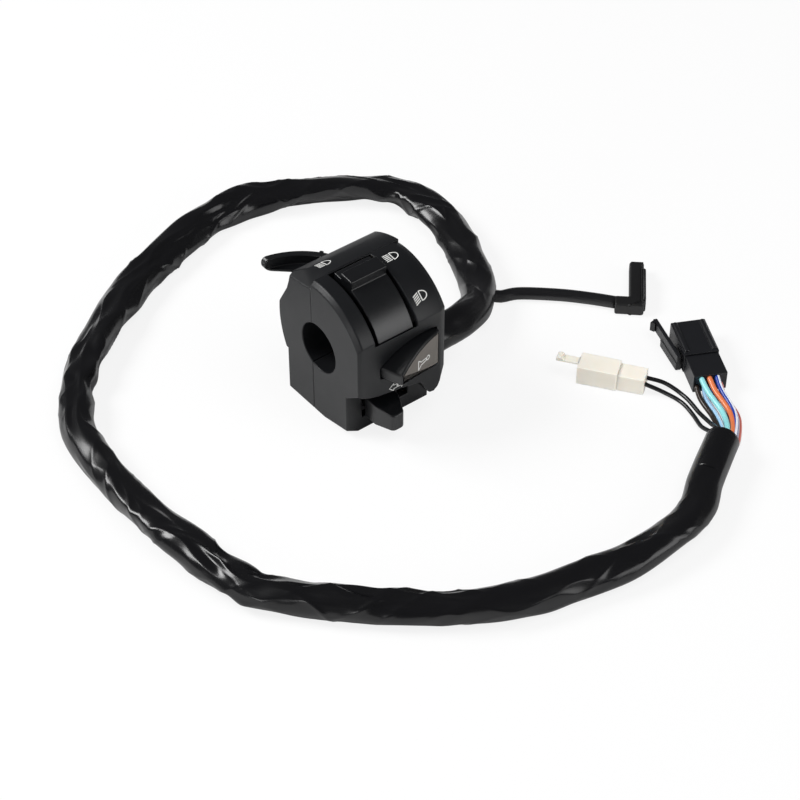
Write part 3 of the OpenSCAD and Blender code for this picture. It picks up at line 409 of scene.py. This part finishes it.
def softened(node, width):
    """Makes the skin of a node, with edges rounded over width millimetres, to stand for the node."""
    shape = merged(node)
    own_surface = BVHTree.FromBMesh(shape)
    mesh = bpy.data.meshes.new(f"{node}_skin")
    shape.to_mesh(mesh)
    shape.free()
    mesh.materials.append(MATERIALS[NODE_SLOTS[node][0]])
    piece = bpy.data.objects.new(mesh.name, mesh)
    bpy.context.scene.collection.objects.link(piece)
    piece.data = bevelled(piece, width)
    keep_near(piece.data, own_surface, width * MM / 2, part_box(node))
    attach(piece, BODY_OF.get(node, "case"))
    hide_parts(node)


for name, width in ROUNDED_MM.items():
    softened(name, width)
print("skins:", len(ROUNDED_MM))

# %% [markdown]
# ## Surfaces on a grid
#
# A cord is a grid of points: one ring after another, worked out as one numpy array. Each face joins
# two neighbours of a ring with the same two on the next ring. The last point of a ring is a
# neighbour of its first, and a fan from a middle point closes each end.


# %% Grid surfaces
def surface(name, rows, material, body, along):
    """Makes the mesh of a grid of rings in millimetres. along is each ring's distance, for the UV map."""
    count, across = rows.shape[:2]
    ring = np.arange(across)
    i, j = np.meshgrid(np.arange(count - 1), ring, indexing="ij")
    k = (j + 1) % across
    this, following = i * across, (i + 1) * across
    faces = np.stack([this + j, this + k, following + k, following + j], -1).reshape(-1, 4).tolist()
    turns = np.stack([j, j + 1, j + 1, j], -1) / across
    lengths = np.stack([along[i], along[i], along[i + 1], along[i + 1]], -1) * MM
    marks = np.stack([turns, lengths], -1).reshape(-1, 2)
    points = rows.reshape(-1, 3)
    after = np.roll(ring, -1)
    for row, first, second in ((0, after, ring), (count - 1, ring, after)):
        middle = np.full(across, len(points))
        faces += np.stack([middle, row * across + first, row * across + second], -1).tolist()
        points = np.vstack([points, rows[row].mean(0)])
        marks = np.vstack([marks, np.tile([[0.5, along[row] * MM]], (3 * across, 1))])
    mesh = bpy.data.meshes.new(name)
    mesh.from_pydata((points * MM).tolist(), [], faces)
    mesh.uv_layers.new(name="along").data.foreach_set("uv", marks.astype(np.float32).ravel())
    mesh.polygons.foreach_set("use_smooth", np.ones(len(faces), bool))
    mesh.materials.append(material)
    mesh.validate()
    piece = bpy.data.objects.new(name, mesh)
    bpy.context.scene.collection.objects.link(piece)
    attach(piece, body)
    return piece


# %% Smooth lines and the rings round them
def smooth_line(points, step):
    """A curve through points: between two it is the cubic whose slope at each is half the way from
    the point before to the point after. It comes back as points step apart, and their distances."""
    p = np.asarray(points, float)
    p = np.vstack([2 * p[0] - p[1], p, 2 * p[-1] - p[-2]])
    a, b, c, d = (p[k:len(p) - 3 + k, None] for k in range(4))
    t = np.linspace(0, 1, 30, endpoint=False)[None, :, None]
    slope, bend, twist = c - a, 2 * a - 5 * b + 4 * c - d, 3 * b - a - 3 * c + d
    curve = 0.5 * (2 * b + slope * t + bend * t ** 2 + twist * t ** 3)
    curve = np.vstack([curve.reshape(-1, 3), p[-2]])
    far = np.r_[0, np.cumsum(np.linalg.norm(np.diff(curve, axis=0), axis=1))]
    at = np.linspace(0, far[-1], int(far[-1] / step) + 1)
    return np.stack([np.interp(at, far, curve[:, k]) for k in range(3)], -1), at


def side_and_up(line):
    """For each point of a line: the side to its right, and the way up from both that and the line."""
    ahead = np.gradient(line, axis=0)
    ahead /= np.linalg.norm(ahead, axis=1, keepdims=True)
    side = np.cross(ahead, [0, 0, 1.0])
    side /= np.linalg.norm(side, axis=1, keepdims=True)
    return side, np.cross(side, ahead)


def round_rows(line, radius, sides):
    """Rings of a tube: each ring's points stand at radius from the line, first up, then to the side.
    radius is one number, or one for each ring and place."""
    side, up = side_and_up(line)
    turn = np.linspace(0, 2 * np.pi, sides, endpoint=False)[:, None]
    radius = np.broadcast_to(radius, (len(line), sides))[..., None]
    return line[:, None] + radius * (np.cos(turn) * up[:, None] + np.sin(turn) * side[:, None])


# %% [markdown]
# ## The sleeve
#
# The sleeve is a thin vinyl tube, 14 mm across, pulled over the loom. It is larger than the loom, so
# it collapses into long folds that twist round it, and where the loom bends it pinches and creases.
# A cloth simulation could do this, but the folds of the real sleeve are few and known. So its
# radius is a function of the distance along it and the angle round it: a flattened ellipse that
# sways, long folds that wind round as helices, short sharp creases, and a narrow neck at each pinch.
# Two tables hold what was seen along the sleeve: each pinch with its place, depth and reach, and how
# strongly the sleeve is folded at a few distances from the case.

# %% Sleeve route
SLEEVE_D = 14.0
SLEEVE_WALL = 0.7
LYING = FLOOR_Z + SLEEVE_D / 2
SLEEVE_ROUTE = [
    (52, -4, -21.5), (60, -3.5, -20.8), (74, -1, -22), (88, 7, -25.5), (100, 22, LYING),
    (110, 45, LYING), (116, 66, LYING), (115, 85, LYING), (107, 99, LYING), (96, 109, LYING),
    (84, 116, LYING), (65, 125, LYING), (47, 129, LYING), (13, 124, LYING), (-33, 102, LYING),
    (-64, 78, LYING), (-78, 61, LYING), (-88, 42, LYING), (-91, 10, LYING), (-90, -16, LYING),
    (-87, -41, LYING), (-83, -60, LYING), (-76, -75, LYING), (-44, -109, LYING), (-10, -132, LYING),
    (22, -141, LYING), (45, -144, LYING), (74, -141, LYING), (92, -130, LYING), (113, -117.7, LYING),
]
print("sleeve route:", len(SLEEVE_ROUTE), "points; its middle lies at z", LYING)

# %% What was seen along the sleeve
PINCHES = [
    (99, 0.14, 7), (132, 0.2, 6), (178, 0.1, 10), (222, 0.2, 7), (267, 0.08, 12), (331, 0.2, 6),
    (348, 0.24, 5), (372, 0.14, 7), (399, 0.12, 9), (435, 0.08, 10), (470, 0.22, 6), (492, 0.18, 6),
    (510, 0.14, 6), (560, 0.08, 10), (640, 0.06, 8),
]
FOLDED = [
    (0, 0.6), (60, 0.9), (150, 1.0), (320, 1.0), (380, 0.5), (450, 0.9), (540, 1.0), (600, 0.6),
    (700, 0.45), (780, 0.15), (900, 0.05),
]
print("pinches:", len(PINCHES), "and folds at", len(FOLDED), "distances")


# %% Ripples and folds
def ripple(along, turn, seed, waves, longest):
    """Smooth noise round and along a tube: a sum of waves of whole turns, with seeded phases."""
    draw = np.random.default_rng(seed)
    total = np.zeros(np.broadcast_shapes(along.shape, turn.shape))
    for _ in range(waves):
        length = longest * draw.uniform(0.25, 1.0)
        total += np.sin(2 * np.pi * along / length + draw.integers(-2, 3) * turn + draw.uniform(0, 2 * np.pi))
    return total / waves ** 0.5


def fold(phase, sharp):
    """A crest once a turn, falling on both sides like a tent: 1 - sqrt((sin(phase / 2) ^ 2 + sharp ^ 2)
    / (1 + sharp ^ 2)). It is near 1 at the crest and 0 half a turn away."""
    return 1 - np.sqrt(np.sin(phase / 2) ** 2 + sharp ** 2) / (1 + sharp ** 2) ** 0.5


# %% Creases
FIRST_CREASE = 40
LAST_CREASE = 700
CREASE_GAP = 5.0


def creases(along, turn):
    """Short sharp ridges: each is a curved line over the unrolled sleeve. Across the line the height
    falls as exp(-distance / 1 mm), and along it as exp(-(distance / half length) ^ 4)."""
    draw = np.random.default_rng(29)
    total = np.zeros(np.broadcast_shapes(along.shape, turn.shape))
    for at in np.arange(FIRST_CREASE, LAST_CREASE, CREASE_GAP):
        middle = at + draw.uniform(-6, 6)
        where = draw.uniform(-2.2, 2.2)
        slope = draw.uniform(-0.9, 0.9)
        half = draw.uniform(6, 15)
        bend = draw.uniform(-0.03, 0.03)
        height = draw.uniform(0.4, 1)
        ahead = along - middle
        side = (np.mod(turn - where + np.pi, 2 * np.pi) - np.pi) * SLEEVE_D / 2
        across = (side - slope * ahead - bend * ahead ** 2) / (1 + slope ** 2) ** 0.5
        total += height * np.exp(-np.abs(across) / 1.0 - (ahead / half) ** 4)
    return total


# %% The sleeve's radius
def sleeve_radius(along, turn):
    """Half the diameter times a sum: an ellipse that lies flat and sways, long helical folds and
    sharp creases, less the pinches, deepest on the loop's inner side, where the skin gathers."""
    warp = ripple(along, turn, 3, 6, 150.0)
    strength = np.interp(along, *np.array(FOLDED, float).T)
    flat = 0.10 + 0.06 * strength
    sway = 0.55 * ripple(along, 0 * turn, 5, 4, 260.0)
    oval = 1 + flat * np.cos(2 * (turn - np.pi / 2 - sway))
    folds = 0.20 * fold(2 * turn - along / 30.0 + 0.9 * warp, 0.06)
    folds += 0.13 * fold(3 * turn + along / 40.0 + 1.4 * ripple(along, turn, 11, 6, 100.0), 0.05)
    inner = 0.5 - 0.5 * np.sin(turn)
    necks = sum(depth * np.exp(-((along - at) / reach) ** 2) for at, depth, reach in PINCHES)
    gathers = 0.14 * necks / 0.2 * fold(6 * turn + 2 * warp, 0.05)
    necks = necks * (0.35 + 0.9 * inner)
    sharp = 0.11 * creases(along, turn)
    return SLEEVE_D / 2 * (oval * (0.94 - 0.95 * necks) + strength * (folds + sharp - 0.12) + gathers)


# %% Build the sleeve
RING_GAP = 0.9
RING_SIDES = 84
INNER_RINGS = 26
ROUND_AT_CASE = 12.0
ROUND_AT_MOUTH = 40.0
SAG = 0.7
FLOOR_GAP = 0.02


def build_sleeve():
    """Rings that ease from round at both ends into the folds, sag a little, and are pressed flat
    where they would pass the floor. At the mouth the wall turns in and runs back 22 mm inside."""
    line, along = smooth_line(SLEEVE_ROUTE, RING_GAP)
    turn = np.linspace(0, 2 * np.pi, RING_SIDES, endpoint=False)[None]
    ease = np.clip((along[-1] - along) / ROUND_AT_MOUTH, 0.0, 1.0) * np.clip(along / ROUND_AT_CASE, 0.0, 1.0)
    ease = ease[:, None]
    radius = SLEEVE_D / 2 + ease * (sleeve_radius(along[:, None], turn) - SLEEVE_D / 2)
    outer = round_rows(line, radius, RING_SIDES)
    outer[..., 2] -= SAG * ease
    inner = round_rows(line, SLEEVE_D / 2 - SLEEVE_WALL, RING_SIDES)[::-1][:INNER_RINGS]
    rim = round_rows(line, SLEEVE_D / 2 - SLEEVE_WALL / 2, RING_SIDES)[-1:] + (line[-1] - line[-2]) * 0.4
    rows = np.concatenate([outer, rim, inner])
    rows[..., 2] = np.maximum(rows[..., 2], FLOOR_Z + FLOOR_GAP)
    far = np.r_[along, along[-1] + 0.5, along[-1] + 1 + np.arange(INNER_RINGS) * RING_GAP]
    piece = surface("sleeve_skin", rows, MATERIALS["sleeve_pvc"], "case", far)
    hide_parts("harness_sleeve")
    return along[-1]


print("sleeve length in mm:", round(build_sleeve()))

# %% [markdown]
# ## The clutch lead and the wires
#
# A second, thinner lead leaves the sleeve for the clutch switch. Two black wires go to the white
# plug and seven coloured ones to the black plug. A curve object with a bevel would do, but a grid
# gives the UV map that the stripes need. So they are round tubes along smooth lines, and 32 sides
# are round to the eye at this size.

# %% Leads and wires
TUBE_SIDES = 32
LEAD_D = 5.5
THIN_WIRE_D = 1.8
WIRE_D = 2.3
LEAD_ROUTE = [
    (97, 15, -30), (104, 10, -32.7), (112, 6.5, -32.7), (125, -5, -32.7), (134, -15, -32.7),
    (141, -24, -32.7),
]
BLACK_WIRES = [
    [
        (110.2, -114.2, -27.4), (115.8, -110.9, -28.5), (119, -105, -32), (122, -95, -34.6),
        (124, -84, -34.6), (122, -75, -33), (116.5, -69, -31),
    ],
    [
        (110.2, -114.2, -29.9), (114.8, -110.3, -31.2), (116, -103, -33.5), (119, -95, -34.6),
        (120.5, -86, -34.6), (118, -78, -33.5), (113.3, -71.5, -31),
    ],
]
COLOURED_WIRES = {
    "brown": [
        (111.5, -116.4, -29.8), (117.1, -113.1, -32), (124, -102, -34.3), (127.3, -91, -33.8),
        (130.5, -84.7, -32.5),
    ],
    "light_blue": [
        (112.8, -118.4, -29.8), (118, -114.8, -32), (125.6, -103, -34.3), (129.5, -92, -33.8),
        (133.5, -86.2, -32.5),
    ],
    "blue": [
        (114, -120.5, -29.8), (119.4, -117, -32), (128.2, -105, -34.3), (132.3, -93.3, -33.8),
        (136.5, -87.8, -32.5),
    ],
    "white": [
        (115.2, -122.5, -29.8), (120.8, -119.2, -32), (132, -108, -34.3), (136.3, -95.6, -33.8),
        (139.5, -89.3, -32.5),
    ],
    "aqua": [
        (111.7, -116.6, -27.2), (118.9, -114.6, -29.4), (126.9, -104.1, -31.7), (129.6, -92.5, -30),
        (132, -85.5, -28.5),
    ],
    "orange": [
        (113, -118.8, -27.2), (120, -116.6, -29.4), (129.2, -106, -31.7), (132.4, -93.8, -30),
        (135, -87, -28.5),
    ],
    "dark_blue": [
        (114.3, -120.9, -27.2), (119.9, -117.6, -29.4), (130.5, -107, -31.7), (134.8, -94.8, -30),
        (138, -88.5, -28.5),
    ],
}


def wire(node, diameter, route, slot):
    """A round tube along a route that starts at the sleeve. Gives back its length in millimetres."""
    line, along = smooth_line(route, diameter / 3)
    line[:, 2] = np.maximum(line[:, 2], FLOOR_Z + FLOOR_GAP + diameter / 2)
    rows = round_rows(line, diameter / 2, TUBE_SIDES)
    piece = surface(f"{node}_skin", rows, MATERIALS[slot], "case", along)
    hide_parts(node)
    return along[-1]


lengths = {"clutch_lead": wire("clutch_lead", LEAD_D, LEAD_ROUTE, "wire_black")}
for number, route in enumerate(BLACK_WIRES, 1):
    node = f"white_plug_wire_{number}"
    lengths[node] = wire(node, THIN_WIRE_D, route, "wire_black")
for colour, route in COLOURED_WIRES.items():
    lengths[colour] = wire(f"wire_{colour}", WIRE_D, route, f"wire_{colour}")
print("lead and wire lengths in mm:", {name: round(value, 1) for name, value in lengths.items()})

# %% [markdown]
# ## Printed symbols
#
# White symbols are pad printed on the case: a lamp with level rays for the high beam, and again
# beside the trigger that flashes it, one with sloping rays for the low beam, an arrow for each
# way, and a horn on its button. Pad print is a film of ink a few hundredths of a millimetre thick
# that lies on whatever shape it meets. So each symbol is drawn as ribbons on a flat sheet, and one
# formula for each place wraps the sheet onto the drum, the front's arc or a flat face.


# %% Ink and ribbons
def pad_ink():
    """White printing ink: matt, and a little thin in places, where the black shows through."""
    material, tree = new_material("pad_printed_ink")
    thin = noise(tree, 0.5, 3.0)
    return finished(material, tree, {
        "Base Color": mixed(tree, thin, linear("#c9c9c6"), linear("#ecece9")),
        "Roughness": ranged(tree, thin, 0.5, 0.65),
    })


INK = pad_ink()
INK_MM = 0.05
INK_LIFT = 0.01
RIBBON_STEP = 0.3


def symbol(name, strokes, place, body, width):
    """One mesh of ribbons: each stroke is points on a sheet, closed where its ends meet. A ribbon's
    edges stand half a width to both sides of the line, and place maps the sheet into space."""
    points, faces = [], []
    for stroke in strokes:
        path = np.array(stroke, float)
        far = np.r_[0, np.cumsum(np.linalg.norm(np.diff(path, axis=0), axis=1))]
        at = np.unique(np.r_[far, np.linspace(0, far[-1], int(far[-1] / RIBBON_STEP) + 2)])
        line = np.stack([np.interp(at, far, path[:, k]) for k in range(2)], -1)
        ahead = np.gradient(line, axis=0)
        if np.allclose(path[0], path[-1]):
            ahead[[0, -1]] = line[1] - line[-2]
        ahead /= np.linalg.norm(ahead, axis=1, keepdims=True)
        side = np.stack([-ahead[:, 1], ahead[:, 0]], -1) * width / 2
        first = sum(len(p) for p in points)
        points.append(np.stack([line + side, line - side], 1).reshape(-1, 2))
        k = first + 2 * np.arange(len(line) - 1)
        faces += np.stack([k, k + 1, k + 3, k + 2], -1).tolist()
    flat = np.vstack(points)
    mesh = bpy.data.meshes.new(name)
    mesh.from_pydata((place(flat[:, 0], flat[:, 1]) * MM).tolist(), [], faces)
    mesh.materials.append(INK)
    piece = bpy.data.objects.new(name, mesh)
    bpy.context.scene.collection.objects.link(piece)
    film = piece.modifiers.new("film", "SOLIDIFY")
    film.thickness = INK_MM * MM
    film.offset = 1.0
    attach(piece, body)


# %% Where each symbol lies
DRUM_R = 31.5
FRONT_ARC = (45.3, -3.0, -13.3)
RIDER_FLAT = 27.0
HORN_CORNER = (14.3, -35.9)
HORN_SLOPE = 15.9


def on_drum(x, angle):
    """Wraps a sheet round the drum: across is along the bar, up is forward round the axis."""
    radius = DRUM_R + INK_LIFT

    def place(u, v):
        a = radians(angle) - v / DRUM_R
        return np.stack([x + u, -radius * np.sin(a), radius * np.cos(a)], -1)

    return place


def on_front_arc(x, y):
    """Wraps a sheet over the front half's arc, whose radius and centre are those of the case."""
    radius, centre_y, centre_z = FRONT_ARC

    def place(u, v):
        z = centre_z + np.sqrt((radius + INK_LIFT) ** 2 - (y + v - centre_y) ** 2)
        return np.stack([x + u, y + v, z], -1)

    return place


def on_rider_flat(x, z):
    """A sheet on the flat rider's face."""
    return lambda u, v: np.stack([x + u, 0 * u - RIDER_FLAT - INK_LIFT, z + v], -1)


def on_horn_face(along, z):
    """A sheet on the horn button's sloping face, along it from its left corner."""
    c, s = np.cos(radians(HORN_SLOPE)), np.sin(radians(HORN_SLOPE))
    x = HORN_CORNER[0] + along * c + INK_LIFT * s
    y = HORN_CORNER[1] + along * s - INK_LIFT * c
    return lambda u, v: np.stack([x + u * c, y + u * s, z + v], -1)


# %% Outlines of the symbols
def arc(centre, across, up, start, end, count=14):
    """Points on an ellipse: the centre plus its two half sizes times cosine and sine of the turn."""
    turn = np.radians(np.linspace(start, end, count))
    return np.stack([centre[0] + across * np.cos(turn), centre[1] + up * np.sin(turn)], -1).tolist()


def headlamp(droop):
    """A headlamp: a half ellipse closed by a straight back, and five rays that fall by droop."""
    rays = [[[-3.2, v - droop], [-0.5, v]] for v in (-1.7, -0.85, 0, 0.85, 1.7)]
    return [[[0.2, 0], [0.2, 2.0]] + arc((0.2, 0), 2.9, 2.0, 90, -90) + [[0.2, 0]]] + rays


def both_halves(half):
    """An outline that is the same above and below: a half from its tip on, and its mirror image."""
    return half + [[u, -v] for u, v in half[::-1]]


LEFT_ARROW = both_halves([[-2.0, 0], [0.2, 1.9], [0.2, 0.9], [1.9, 0.9]])
RIGHT_ARROW = [[-u, v] for u, v in LEFT_ARROW]
TRUMPET = both_halves([[-3.0, 0], [-3.0, 2.4], [-1.1, 0.8], [2.2, 0.6]])
BULB = arc((3.4, 0), 1.0, 1.0, -180, 180)
print("points of an arrow:", len(LEFT_ARROW), "and of the trumpet:", len(TRUMPET))

# %% Print the symbols
SYMBOLS = {
    "symbol_high_beam": (headlamp(0), on_drum(34.6, 5), "case", 0.42),
    "symbol_low_beam": (headlamp(1.1), on_drum(34.6, 42.5), "case", 0.42),
    "symbol_flash": (headlamp(0), on_front_arc(12.2, 12.0), "case", 0.42),
    "symbol_turn_left": ([LEFT_ARROW], on_rider_flat(16.8, -11.1), "case", 0.36),
    "symbol_turn_right": ([RIGHT_ARROW], on_rider_flat(21.1, -11.1), "case", 0.36),
    "symbol_horn": ([TRUMPET, BULB], on_horn_face(14.0, -0.2), "horn", 0.5),
}
for name, drawing in SYMBOLS.items():
    symbol(name, *drawing)
print("symbols printed:", len(SYMBOLS))

# %% [markdown]
# ## Light, floor and backdrop
#
# Plain studio light: a soft box high at the back left, a low one at the front right that the
# rocker and the horn button mirror, and one at the left for the case's end. None stands where the
# top of the drum would mirror it, so the drum stays dark. A large one overhead lights the pale plug
# and the wires, and is kept out of the mirror images. The floor is white paint with a glow over it.
# The Light Path node shows the glow and a white sky to the camera alone, so glossy surfaces mirror
# the plain paint and the dim sky. The floor still takes the object's shadow.


# %% Light and floor
def softbox(name, at, aim, size, power, mirrored=True):
    """A rectangular lamp at a point in metres, turned to face another point. mirrored is whether
    glossy surfaces show it."""
    data = bpy.data.lights.new(name, "AREA")
    data.shape = "RECTANGLE"
    data.size, data.size_y = size
    data.energy = power
    lamp = bpy.data.objects.new(name, data)
    lamp.location = at
    lamp.rotation_euler = (Vector(aim) - Vector(at)).to_track_quat("-Z", "Y").to_euler()
    lamp.visible_glossy = mirrored
    bpy.context.scene.collection.objects.link(lamp)


FLOOR_HALF = 6.0
FLOOR_GLOW_SHARE = 0.84


def add_floor():
    """A white floor under the object, larger than any view of it, and its material."""
    signs = ((-1, -1), (1, -1), (1, 1), (-1, 1))
    corners = [(x * FLOOR_HALF, y * FLOOR_HALF, FLOOR_Z * MM) for x, y in signs]
    mesh = bpy.data.meshes.new("floor")
    mesh.from_pydata(corners, [], [(0, 1, 2, 3)])
    floor = bpy.data.objects.new("floor", mesh)
    bpy.context.scene.collection.objects.link(floor)
    material, tree = new_material("floor_white")
    paint = add_node(tree, "ShaderNodeBsdfDiffuse", {"Color": (0.86, 0.86, 0.86, 1)})
    glow = add_node(tree, "ShaderNodeEmission", {"Color": (1, 1, 1, 1), "Strength": 1.0})
    seen = add_node(tree, "ShaderNodeLightPath").outputs["Is Camera Ray"]
    share = add_node(tree, "ShaderNodeMath", {0: seen, 1: FLOOR_GLOW_SHARE}, operation="MULTIPLY")
    parts = {0: share.outputs[0], 1: paint.outputs[0], 2: glow.outputs[0]}
    shader = add_node(tree, "ShaderNodeMixShader", parts)
    add_node(tree, "ShaderNodeOutputMaterial", {"Surface": shader.outputs[0]})
    mesh.materials.append(material)


def add_world():
    """A dim even sky that lights the object, and is white to the camera alone."""
    world = bpy.data.worlds.new("world")
    world.use_nodes = True
    tree = world.node_tree
    tree.nodes.clear()
    path = add_node(tree, "ShaderNodeLightPath")
    sky = mixed(tree, path.outputs["Is Camera Ray"], (0.13, 0.13, 0.135, 1), (1, 1, 1, 1))
    light = add_node(tree, "ShaderNodeBackground", {"Color": sky, "Strength": 1.0})
    add_node(tree, "ShaderNodeOutputWorld", {"Surface": light.outputs[0]})
    bpy.context.scene.world = world


add_floor()
add_world()
softbox("lamp_back_left", (-0.75, 0.75, 0.95), (0.02, 0, 0), (0.7, 0.5), 19)
softbox("lamp_front_right", (0.6, -1.1, 0.42), (0.02, -0.02, 0), (0.8, 0.6), 5)
softbox("lamp_left", (-1.1, -0.35, 0.3), (0.02, 0, 0), (0.4, 0.4), 2.6)
softbox("lamp_over", (0.2, -0.5, 1.3), (0.06, -0.03, 0), (1.0, 1.0), 8.5, mirrored=False)
bpy.context.scene.view_settings.view_transform = "Standard"
print("stage set")
